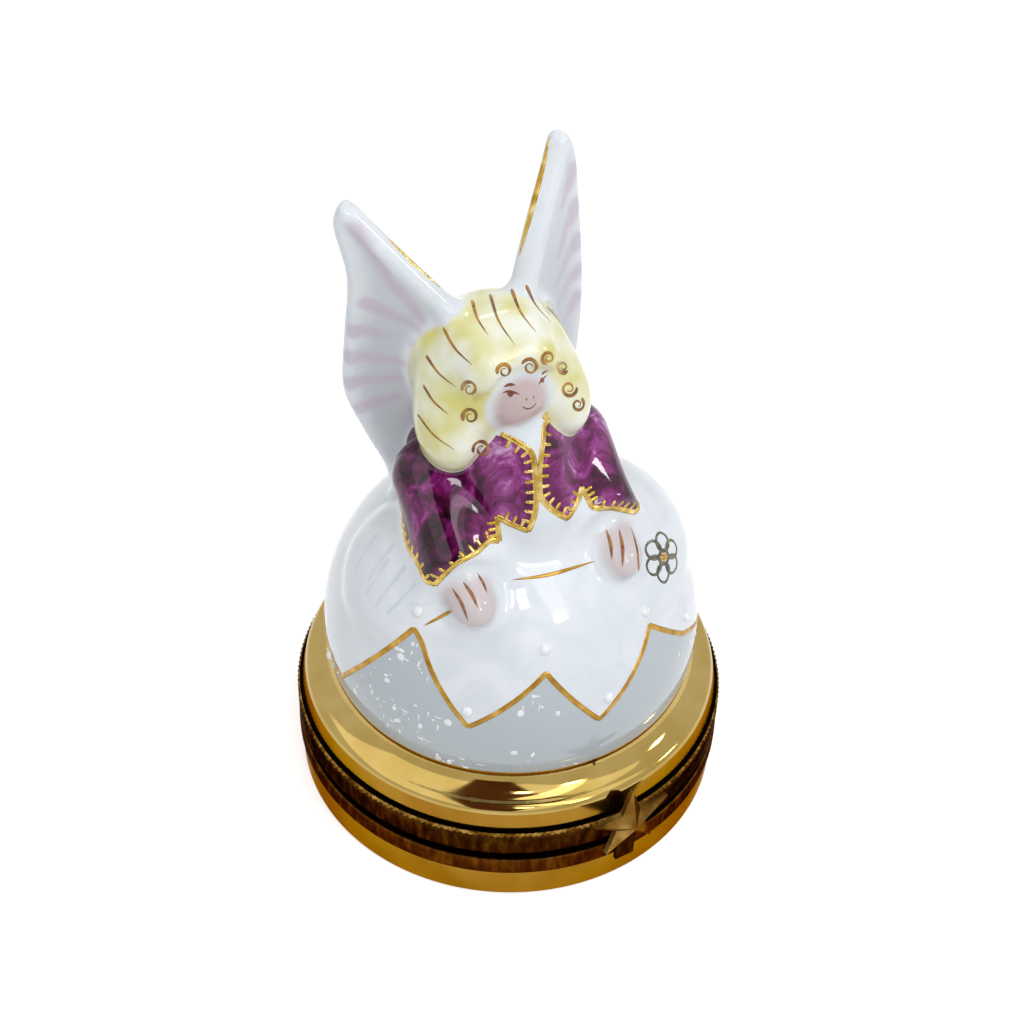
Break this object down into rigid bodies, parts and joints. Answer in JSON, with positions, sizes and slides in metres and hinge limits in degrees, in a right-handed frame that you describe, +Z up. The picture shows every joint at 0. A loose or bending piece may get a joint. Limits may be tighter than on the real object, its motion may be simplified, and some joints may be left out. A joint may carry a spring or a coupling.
{
  "type": "hinged porcelain keepsake box",
  "caption": "Round hinged porcelain keepsake box for a baby tooth: gilded dish, brass rims, star clasp and a domed skirt lid with a winged doll-like figure.",
  "frame": {"origin": "centre of the round foot, on the surface that the box stands on", "axes": "+Z up, -Y to the front where the clasp is, +Y to the back where the hinge is"},
  "size_m": [0.05, 0.0552, 0.0785],
  "materials": {
    "gilt_porcelain": "mirror gilding over glaze",
    "white_porcelain": "glossy clear glaze",
    "patinated_brass": "patinated, worn bright on its edges",
    "jacket_enamel": "mottled overglaze enamel",
    "hair_enamel": "glossy overglaze enamel",
    "skin_enamel": "glossy overglaze enamel",
    "wing_porcelain": "glossy clear glaze with painted strokes",
    "white_enamel": "raised enamel dots"
  },
  "bodies": {
    "base": {"base_bowl": "gilt_porcelain", "lower_bezel": "patinated_brass", "lower_hinge_half": "patinated_brass", "hinge_pin": "patinated_brass", "catch_stud": "patinated_brass"},
    "lid": {"lid_shell": "white_porcelain", "upper_bezel": "patinated_brass", "upper_hinge_half": "patinated_brass", "clasp_tongue": "patinated_brass", "clasp_star": "patinated_brass", "bust": "jacket_enamel", "head": "skin_enamel", "hair": "hair_enamel", "left_sleeve": "jacket_enamel", "right_sleeve": "jacket_enamel", "left_hand": "skin_enamel", "right_hand": "skin_enamel", "left_wing": "wing_porcelain", "right_wing": "wing_porcelain", "left_lower_wing": "wing_porcelain", "right_lower_wing": "wing_porcelain", "enamel_beads": "white_enamel"}
  },
  "joints": [
    {"name": "lid_hinge", "type": "hinge", "parent": "base", "child": "lid", "pos_m": [0, 0.02635, 0.00715], "axis": [-1, 0, 0], "range_deg": [0, 95]}
  ]
}
